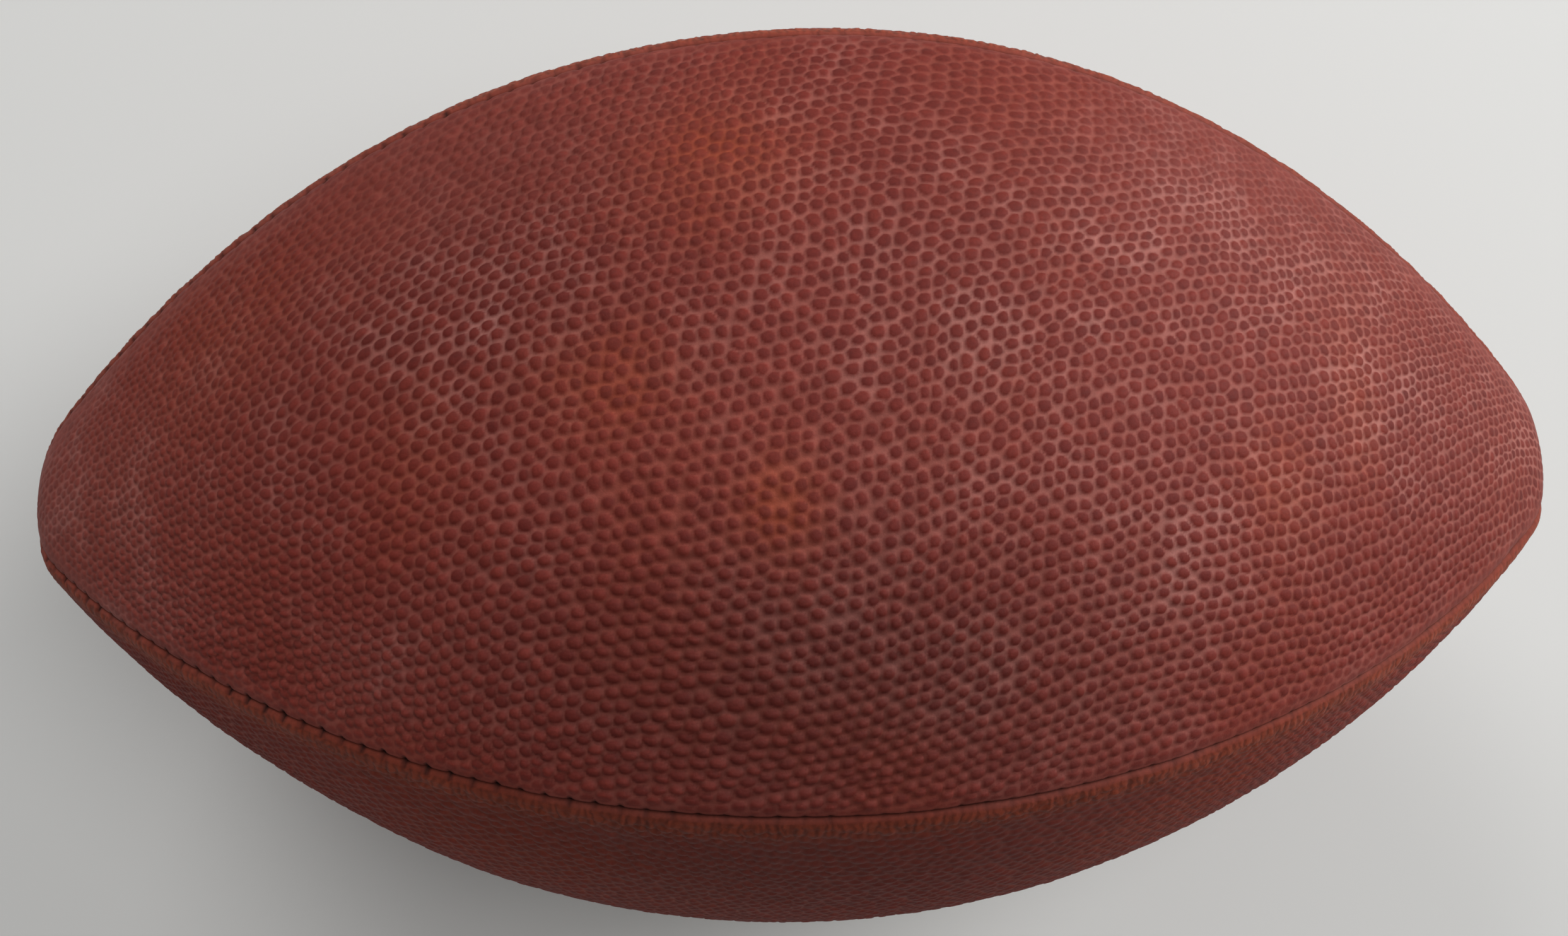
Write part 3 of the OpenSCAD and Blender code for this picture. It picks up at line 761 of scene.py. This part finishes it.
def strandPath(sign):
    low = lace["lift"] + lacing["thickness"] / 2
    middle = lace["lift"] + lacing["strandWidth"] / 2
    # along the seam, off it and above the leather: the strand's end goes down through the slot
    end = [(slotHalf - 4.5, middle, low), (slotHalf - 1.6, middle - 0.35, low - 0.05),
           (slotHalf + 0.3, middle - 0.8, low - 0.75), (slotHalf + 0.9, middle - 1.0, -1.6),
           (slotHalf + 0.9, middle - 1.0, -lace["legDepth"])]
    run = [(x, middle, low) for x in np.linspace(-slotHalf + 8, slotHalf - 8, 9)]
    x, off, height = smoothPath([(-x, off, height) for x, off, height in end[::-1]] + run + end, 10).T
    between = np.cos(2 * pi * (x / lacing["pitch"])) * smoothStep(slotHalf, slotHalf - 6, np.abs(x))
    height = height + lace["sag"] * between
    across = onSeam(x, sign * (off + 0.4), height) - onSeam(x, sign * (off - 0.4), height)
    width = smoothStep(slotHalf + 0.6, slotHalf - 3, np.abs(x))
    width = blend(lace["strandEnd"], lacing["strandWidth"], width)
    return stripRings(onSeam(x, sign * off, height), across, width)


def innerRun(sign, x1, x2):
    reach = lacing["width"] / 2
    x = np.linspace(x1 - reach, x2 + reach, 24)
    off = np.full(x.shape, sign * lacing["holeOff"])
    depth = np.full(x.shape, -lace["legDepth"])
    across = onSeam(x, off + 0.4, depth) - onSeam(x, off - 0.4, depth)
    return stripRings(onSeam(x, off, depth), across, np.full(x.shape, lacing["width"]))


def makeLace():
    parts = [crossLacePath(x, number) for number, x in enumerate(laceSpots)]
    parts += [strandPath(1), strandPath(-1)]
    for number, (x1, x2) in enumerate(zip(laceSpots, laceSpots[1:])):
        parts.append(innerRun(-1 if number % 2 == 0 else 1, x1, x2))
    parts += [innerRun(1, -slotHalf, laceSpots[0]), innerRun(1, laceSpots[-1], slotHalf)]
    return joinRings("lace_strip", parts, quarterTurn + seamTurn)


laceStrip = makeLace()
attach(laceStrip, "root")
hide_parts("lace")
print("lace made")


# valve

valve = {
    "sink": 0.5,  # face below the leather
    "stem": 3.8,
    "rim": 0.35,  # radius of the rounded rim
    "dish": 0.25,  # how hollow the face is
    "collar": 2.2,  # raised ring round the needle hole
    "collarHeight": 0.22,
    "collarRound": 0.28,
    "hole": 1.3,
    "holeDepth": 5.0,
    "chamber": 2.7,  # radius behind the hole
    "flangeDepth": 5.2,  # below the leather
    "flange": 1.2,  # its thickness
    "sides": 72,
}


def makeValve():
    face = panelRadius - valve["sink"]
    rim, stem, hole, chamber = (valve[name] for name in ("rim", "stem", "hole", "chamber"))
    flangeRadius = (valveHigh.x - valveLow.x) / 2 / mm
    inner = -valveHigh.z / mm
    flangeTop = panelRadius - valve["flangeDepth"]
    flangeUnder = flangeTop - valve["flange"]
    ringTop = face + valve["collarHeight"] - valve["dish"]
    ringRound = valve["collarRound"]
    # radius and height, from the needle hole over the face and down the outside
    profile = [(hole, face - valve["holeDepth"]), (hole, face - 0.6)]
    for a in np.linspace(0.3, quarterTurn, 4):
        profile.append((hole + ringRound * (1 - cos(a)), face - ringRound + ringRound * sin(a)))
    profile += [(hole + 0.45, ringTop), (valve["collar"] - 0.3, ringTop), (valve["collar"], ringTop - 0.12),
                (valve["collar"] + 0.15, face - valve["dish"]), (stem - 2 * rim, face - valve["dish"] * 0.7)]
    for a in np.linspace(-0.6, quarterTurn, 7):
        profile.append((stem - rim + rim * sin(a), face - rim + rim * cos(a)))
    profile += [(stem, flangeTop + 0.4), (stem + 0.4, flangeTop), (flangeRadius - 0.4, flangeTop),
                (flangeRadius, flangeTop - 0.5), (flangeRadius - 0.3, flangeUnder), (stem + 0.3, flangeUnder),
                (stem, flangeUnder - 0.3), (stem, inner), (chamber, inner),
                (chamber, face - valve["holeDepth"])]
    angle = np.linspace(0, 2 * pi, valve["sides"], endpoint=False)
    points = np.array([(radius * cos(a), radius * sin(a), -height)
                       for radius, height in profile for a in angle])
    faces = ringQuads(len(profile), valve["sides"], closed=True).reshape(-1, 4).tolist()
    return meshOf("valve_stem", points, faces)


valveStem = makeValve()
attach(valveStem, "root")
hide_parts("valve_housing")
print("valve made")


# node groups that several finishes share

def makeGroup(name, inputs, outputs):
    group = bpy.data.node_groups.new(name, "ShaderNodeTree")
    for label, value in inputs.items():
        socket = group.interface.new_socket(label, in_out="INPUT", socket_type="NodeSocketFloat")
        socket.default_value = value
    for label in outputs:
        group.interface.new_socket(label, in_out="OUTPUT", socket_type="NodeSocketFloat")
    return group, group.nodes.new("NodeGroupInput").outputs, group.nodes.new("NodeGroupOutput").inputs


def addNode(tree, kind, **settings):
    node = tree.nodes.new(kind)
    for name, value in settings.items():
        setattr(node, name, value)
    return node


def feed(value, socket):
    # a constant is set on the socket itself
    if isinstance(value, bpy.types.NodeSocket):
        socket.id_data.links.new(value, socket)
    else:
        socket.default_value = value


def fedNode(kind, values, places, **settings):
    # a node fed with values, in the tree that they come from
    tree = next(value.id_data for value in values if isinstance(value, bpy.types.NodeSocket))
    node = addNode(tree, kind, **settings)
    for value, place in zip(values, places):
        feed(value, node.inputs[place])
    return node.outputs


def mathNode(operation, *values, clamp=False):
    return fedNode("ShaderNodeMath", values, (0, 1), operation=operation, use_clamp=clamp)[0]


def times(first, second):
    return mathNode("MULTIPLY", first, second)


def plus(first, second, clamp=False):
    return mathNode("ADD", first, second, clamp=clamp)


def mixColors(factor, first, second, blend="MIX"):
    settings = {"data_type": "RGBA", "blend_type": blend}
    return fedNode("ShaderNodeMix", (factor, first, second), (0, 6, 7), **settings)[2]


def remap(value, low, high, toLow=0.0, toHigh=1.0, **settings):
    return fedNode("ShaderNodeMapRange", (value, low, high, toLow, toHigh), range(5), **settings)[0]


def objectPlace(tree):
    return addNode(tree, "ShaderNodeTexCoord").outputs["Object"]


def noise(place, scale, detail=2.0, roughness=0.5):
    sockets = ("Vector", "Scale", "Detail", "Roughness")
    return fedNode("ShaderNodeTexNoise", (place, scale, detail, roughness), sockets)["Fac"]


def softPatches():
    # patches, 0 to 1, that end between Low and High
    group, given, wanted = makeGroup("soft patches", {"Scale": 30, "Low": 0.4, "High": 0.6}, ("Patch",))
    cloud = noise(objectPlace(group), given["Scale"], 3)
    patch = remap(cloud, given["Low"], given["High"], interpolation_type="SMOOTHSTEP")
    feed(patch, wanted["Patch"])
    return group


def fineGrain():
    # pores and hair-fine creases of hide, or the skin of moulded rubber
    group, given, wanted = makeGroup("fine grain", {"Scale": 1400, "Pores": 0.5}, ("Height", "Shade"))
    place = objectPlace(group)
    small = noise(place, given["Scale"], 3, 0.6)
    wide = noise(place, times(given["Scale"], 0.27))
    pores = fedNode("ShaderNodeTexVoronoi", (place, times(given["Scale"], 0.8)), ("Vector", "Scale"),
                    feature="DISTANCE_TO_EDGE")["Distance"]
    cracked = times(remap(pores, 0, 0.12), given["Pores"])
    height = plus(times(small, 0.6), times(wide, 0.8))
    feed(plus(height, times(cracked, 0.5)), wanted["Height"])
    feed(plus(times(small, 0.5), times(wide, 0.5)), wanted["Shade"])
    return group


def plainWeave():
    # threads that cross: height of the cloth and the shade of each thread
    group, given, wanted = makeGroup(
        "plain weave", {"Threads": 1500, "Unevenness": 0.3}, ("Height", "Shade"))
    place = objectPlace(group)
    x, y, z = fedNode("ShaderNodeSeparateXYZ", (place,), (0,))
    bent = times(noise(place, 160), given["Unevenness"])
    along = times(x, given["Threads"])
    wrap = plus(y, times(z, 0.8))
    wrap = times(wrap, given["Threads"])
    first = mathNode("SINE", plus(along, bent))
    second = mathNode("SINE", plus(wrap, bent))
    crossed = times(first, second)
    rounds = mathNode("MAXIMUM", *(mathNode("ABSOLUTE", wave) for wave in (first, second)))
    feed(plus(times(crossed, 0.4), rounds), wanted["Height"])
    fuzz = noise(place, 900, 3)
    feed(plus(times(crossed, 0.15), fuzz), wanted["Shade"])
    return group


patchGroup = softPatches()
grainGroup = fineGrain()
weaveGroup = plainWeave()


def useGroup(tree, group, **values):
    node = addNode(tree, "ShaderNodeGroup")
    node.node_tree = group
    for name, value in values.items():
        node.inputs[name].default_value = value
    return node.outputs


def makeMaterial(name):
    made = bpy.data.materials.new(name)
    made.use_nodes = True
    return made, made.node_tree, made.node_tree.nodes["Principled BSDF"]


def addBump(shader, height, distance, strength):
    # the distance is in metres
    sockets = ("Height", "Distance", "Strength")
    bump = fedNode("ShaderNodeBump", (height, distance, strength), sockets)
    feed(bump["Normal"], shader.inputs["Normal"])


def linear(*color):
    # a colour as it is usually written, 0 to 255, as the shader wants it
    parts = [value / 255 for value in color]
    return (*(part / 12.92 if part <= 0.04045 else ((part + 0.055) / 1.055) ** 2.4 for part in parts), 1)


# pebbled leather

leather = {
    "top": linear(95, 30, 24),
    "topLight": linear(109, 38, 30),
    "groove": linear(124, 59, 50),
    "grooveWarm": linear(136, 57, 33),
    # dust in the valleys, together with a painted sheen of light glancing off them
    "dustAndSheen": linear(168, 116, 108),
    # a bead's lighter, more orange colour is partly painted light on its raised top
    "bead": linear(146, 64, 39),
    # painted shade for the crack, the folds, the stitch pits and the holes
    "crease": linear(30, 13, 10),
    "dyeEdge": (0.04, 0.8),  # between these the dye turns from a valley's to a pebble's
    "warmTop": 0.22,  # share of the warm dye that a pebble takes up
    "plainTop": 0.45,  # share of a valley's dye in leather without pebbles
    "flatShare": 0.75,  # most that flat leather and a bead show of their own colours, a bead's being partly painted light
    "beadShare": 0.75,
    "cloudWarmth": 0.2,  # how much warmer, less dusty and less sheened the leather is in patches
    "dustAndSheenShare": 0.55,  # most dust and painted sheen where the valleys are pale
    "dustAndSheenSpread": 0.2,  # and the dust and painted sheen everywhere else
    "leastDustAndSheen": 0.4,  # share of the dust and painted sheen left between patches of it
    "paintedShadeLeft": 0.57,  # share of the colour left under the painted shade
    "wrinkles": 4.5,  # fine wrinkles along a bead, in radians per mm
    "wrinkleSway": 13,  # how far they wander, in radians
    "furrow": 0.66,  # painted shade: share of the colour left in a wrinkle's furrow
    "specular": 0.16,
    "roughness": (0.72, 0.64),  # in a valley and on a pebble
    "bump": (0.00007, 0.6),
}


def leatherMaterial():
    made, tree, shader = makeMaterial("pebbled leather")
    shader.inputs["Specular IOR Level"].default_value = leather["specular"]
    rim, relief, lot, flat, bead, crease, seamRun, warm, pale, paintedShade = (
        addNode(tree, "ShaderNodeAttribute", attribute_name=name).outputs["Fac"]
        for name in ("rim", "relief", "lot", "flat", "bead", "crease", "seamRun", "warm", "pale", "paintedShade"))
    cloud = useGroup(tree, patchGroup, Scale=24.0, Low=0.42, High=0.66)["Patch"]
    cloud = times(cloud, leather["cloudWarmth"])
    dustAndSheenPatches = useGroup(tree, patchGroup, Scale=110.0, Low=0.4, High=0.7)["Patch"]
    dustAndSheenPatches = remap(dustAndSheenPatches, 0, 1, leather["leastDustAndSheen"], 1)
    fine = useGroup(tree, grainGroup, Scale=1500.0, Pores=0.5)
    warm = plus(warm, cloud, clamp=True)
    # pale spots: dust and painted sheen in the valleys
    pale = mathNode("SUBTRACT", times(pale, leather["dustAndSheenShare"]), cloud)
    pale = times(plus(pale, leather["dustAndSheenSpread"], clamp=True), dustAndSheenPatches)

    tops = mixColors(lot, leather["top"], leather["topLight"])
    tops = mixColors(times(warm, leather["warmTop"]), tops, leather["grooveWarm"])
    grooves = mixColors(warm, leather["groove"], leather["grooveWarm"])
    grooves = mixColors(pale, grooves, leather["dustAndSheen"])
    color = mixColors(remap(rim, *leather["dyeEdge"]), grooves, tops)
    plain = mixColors(leather["plainTop"], leather["topLight"], grooves)
    color = mixColors(times(flat, leather["flatShare"]), color, plain)
    # a bead's lighter colour, partly painted light
    color = mixColors(times(bead, leather["beadShare"]), color, leather["bead"])
    # painted shade in the crack, the folds, the stitch pits and the holes
    color = mixColors(crease, color, leather["crease"])

    # fine wrinkles that run down a bead from its seam, bumped and darkened with painted shade in their
    # furrows
    sway = times(noise(objectPlace(tree), 420), leather["wrinkleSway"])
    wave = mathNode("SINE", plus(times(seamRun, leather["wrinkles"]), sway))
    furrow = times(remap(wave, -1, 0.6, 1, 0), bead)
    shade = remap(fine["Shade"], 0.3, 0.7, 0.8, 1.2)
    # painted shade: darker in the spots of painted shade
    shade = times(shade, remap(paintedShade, 0, 1, 1, leather["paintedShadeLeft"]))
    shade = times(shade, remap(furrow, 0, 1, 1, leather["furrow"]))
    grey = fedNode("ShaderNodeCombineColor", (shade, shade, shade), range(3))[0]
    feed(mixColors(1, color, grey, "MULTIPLY"), shader.inputs["Base Color"])
    feed(remap(relief, 0, 1, *leather["roughness"]), shader.inputs["Roughness"])
    addBump(shader, mathNode("SUBTRACT", fine["Height"], furrow), *leather["bump"])
    return made


leatherFinish = leatherMaterial()
for piece in leatherPieces:
    piece.data.materials.append(leatherFinish)
print("leather finished")


# lace, rubber, cloth and thread

def plainMaterial(name, look):
    made, tree, shader = makeMaterial(name)
    color, dark = linear(*look["color"]), linear(*look["dark"])
    skin = useGroup(tree, look["group"], **look["values"])
    base = mixColors(remap(skin["Shade"], *look["shade"]), color, dark)
    roughness = look["roughness"]
    if "patch" in look:
        scale, low, high, share = look["patch"]
        patch = useGroup(tree, patchGroup, Scale=scale, Low=low, High=high)["Patch"]
        base = mixColors(times(patch, share), base, dark)
        if isinstance(roughness, tuple):
            roughness = remap(patch, 0, 1, *roughness)
    feed(base, shader.inputs["Base Color"])
    feed(roughness, shader.inputs["Roughness"])
    shader.inputs["Sheen Weight"].default_value = look["sheen"]
    addBump(shader, skin["Height"], *look["bump"])
    return made


# shade turns the skin's own shade into a share of the dark colour; patch is the scale, ends and most
# darkness of the patches; roughness may differ outside and inside them
rubber = {
    "group": grainGroup, "shade": (0.42, 0.62, 0, 0.22), "patch": (120, 0.45, 0.7, 0.5), "sheen": 0,
}
cloth = {
    "group": weaveGroup, "shade": (0.25, 0.75, 1, 0), "patch": (40, 0.4, 0.7, 0.2), "sheen": 0.2,
    "roughness": 0.9, "bump": (0.0002, 0.7),
}
finishes = {
    "lace rubber": {
        **rubber, "color": (236, 234, 226), "dark": (198, 190, 174), "roughness": (0.5, 0.65),
        "values": {"Scale": 1700, "Pores": 0.2}, "bump": (0.00012, 0.6), "made": (laceStrip,),
    },
    "valve rubber": {
        **rubber, "color": (30, 30, 32), "dark": (58, 56, 54), "roughness": (0.45, 0.6),
        "values": {"Scale": 1500, "Pores": 0.2}, "bump": (0.00006, 0.6), "made": (valveStem,),
    },
    "bladder rubber": {
        **rubber, "color": (38, 38, 40), "dark": (70, 69, 67), "roughness": (0.4, 0.55),
        "values": {"Scale": 700, "Pores": 0.2}, "bump": (0.0001, 0.6),
        "nodes": ("bladder", "valve_patch", "valve_core"),
    },
    "lining cloth": {
        **cloth, "color": (222, 216, 198), "dark": (160, 152, 132),
        "values": {"Threads": 3600, "Unevenness": 2},
        "nodes": ("lining_top", "lining_front", "lining_bottom", "lining_rear"),
    },
    "guard cloth": {
        **cloth, "color": (206, 200, 184), "dark": (138, 131, 115),
        "values": {"Threads": 2400, "Unevenness": 2}, "nodes": ("lace_guard",),
    },
    # the plain flesh side
    "facing leather": {
        "color": (150, 96, 70), "dark": (104, 60, 44), "roughness": 0.75, "sheen": 0,
        "group": grainGroup, "values": {"Scale": 900, "Pores": 0.8}, "shade": (0.35, 0.65, 0, 0.5),
        "patch": (60, 0.4, 0.65, 1), "bump": (0.0002, 0.7),
        "nodes": ("lace_facing_front", "lace_facing_bottom"),
    },
    # waxed: the lay of its strands runs aslant along it
    "seam thread": {
        "color": (96, 60, 44), "dark": (52, 30, 22), "roughness": 0.55, "sheen": 0,
        "group": weaveGroup, "values": {"Threads": 5200, "Unevenness": 0.6}, "shade": (0.3, 0.8, 1, 0),
        "bump": (0.0001, 0.8),
        "nodes": ("seam_thread_top_front", "seam_thread_top_rear", "seam_thread_bottom_rear",
                  "seam_thread_lace", "facing_stitches"),
    },
}
for name, look in finishes.items():
    finish = plainMaterial(name, look)
    for piece in look.get("made", ()):
        piece.data.materials.append(finish)
    for node in look.get("nodes", ()):
        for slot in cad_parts[node].material_slots:
            slot.material = finish
print("lace, rubber, cloth and thread finished")


# floor and light

studio = {
    "floor": linear(199, 199, 197),
    "floorSize": 6,
    "backdrop": linear(214, 214, 212),
    "fadeFrom": 0.45,  # metres from the ball at which the floor starts to turn into the backdrop
    "fadeTo": 1.5,
    "world": 0.24,
    "frontDim": 0.15,  # how much dimmer the room is in front of the ball than above it
    "lampSize": 0.9,
    "lampAway": 1.5,
    # turn from the right hand end towards the back, height above the floor, power
    "lamps": {"side lamp": (22, 26, 18.5), "back lamp": (112, 38, 8.8), "top lamp": (-20, 76, 9)},
}


def mixShaders(tree, factor, first, second, output):
    both = fedNode("ShaderNodeMixShader", (factor, first.outputs[0], second.outputs[0]), range(3))
    feed(both[0], tree.nodes[output].inputs["Surface"])


def forCamera(tree):
    return addNode(tree, "ShaderNodeLightPath").outputs["Is Camera Ray"]


def makeFloor():
    corners = np.array(((-1, -1, 0), (1, -1, 0), (1, 1, 0), (-1, 1, 0))) * studio["floorSize"] / 2 / mm
    floor = meshOf("floor", corners + (0, 0, floorHeight), [(0, 1, 2, 3)])
    made, tree, shader = makeMaterial("pale floor")
    shader.inputs["Roughness"].default_value = 0.9
    shader.inputs["Base Color"].default_value = studio["floor"]
    away = fedNode("ShaderNodeVectorMath", (objectPlace(tree),), (0,), operation="LENGTH")["Value"]
    fading = remap(away, studio["fadeFrom"], studio["fadeTo"])
    glow = addNode(tree, "ShaderNodeEmission")
    glow.inputs["Color"].default_value = studio["backdrop"]
    mixShaders(tree, times(fading, forCamera(tree)), shader, glow, "Material Output")
    floor.data.materials.append(made)


def makeLamp(name, turn, rise, power):
    turn, rise = radians(turn), radians(rise)
    toward = Vector((cos(rise) * cos(turn), cos(rise) * sin(turn), sin(rise)))
    lamp = bpy.data.objects.new(name, bpy.data.lights.new(name, "AREA"))
    lamp.data.shape = "DISK"
    lamp.data.size = studio["lampSize"]
    lamp.data.energy = power
    lamp.location = toward * studio["lampAway"]
    lamp.rotation_mode = "QUATERNION"
    lamp.rotation_quaternion = (-toward).to_track_quat("-Z", "Y")
    bpy.context.scene.collection.objects.link(lamp)


def makeRoom():
    world = bpy.data.worlds.new("soft room")
    world.use_nodes = True
    tree = world.node_tree
    room = tree.nodes["Background"]
    room.inputs["Strength"].default_value = studio["world"]
    towards = addNode(tree, "ShaderNodeTexCoord").outputs["Generated"]
    y = fedNode("ShaderNodeSeparateXYZ", (towards,), (0,))["Y"]
    feed(remap(y, -1, 1, 1 - studio["frontDim"], 1 + studio["frontDim"]), room.inputs["Color"])
    behind = addNode(tree, "ShaderNodeBackground")
    behind.inputs["Color"].default_value = studio["backdrop"]
    mixShaders(tree, forCamera(tree), room, behind, "World Output")
    bpy.context.scene.world = world
    bpy.context.scene.view_settings.view_transform = "Standard"


makeFloor()
for name, values in studio["lamps"].items():
    makeLamp(name, *values)
makeRoom()
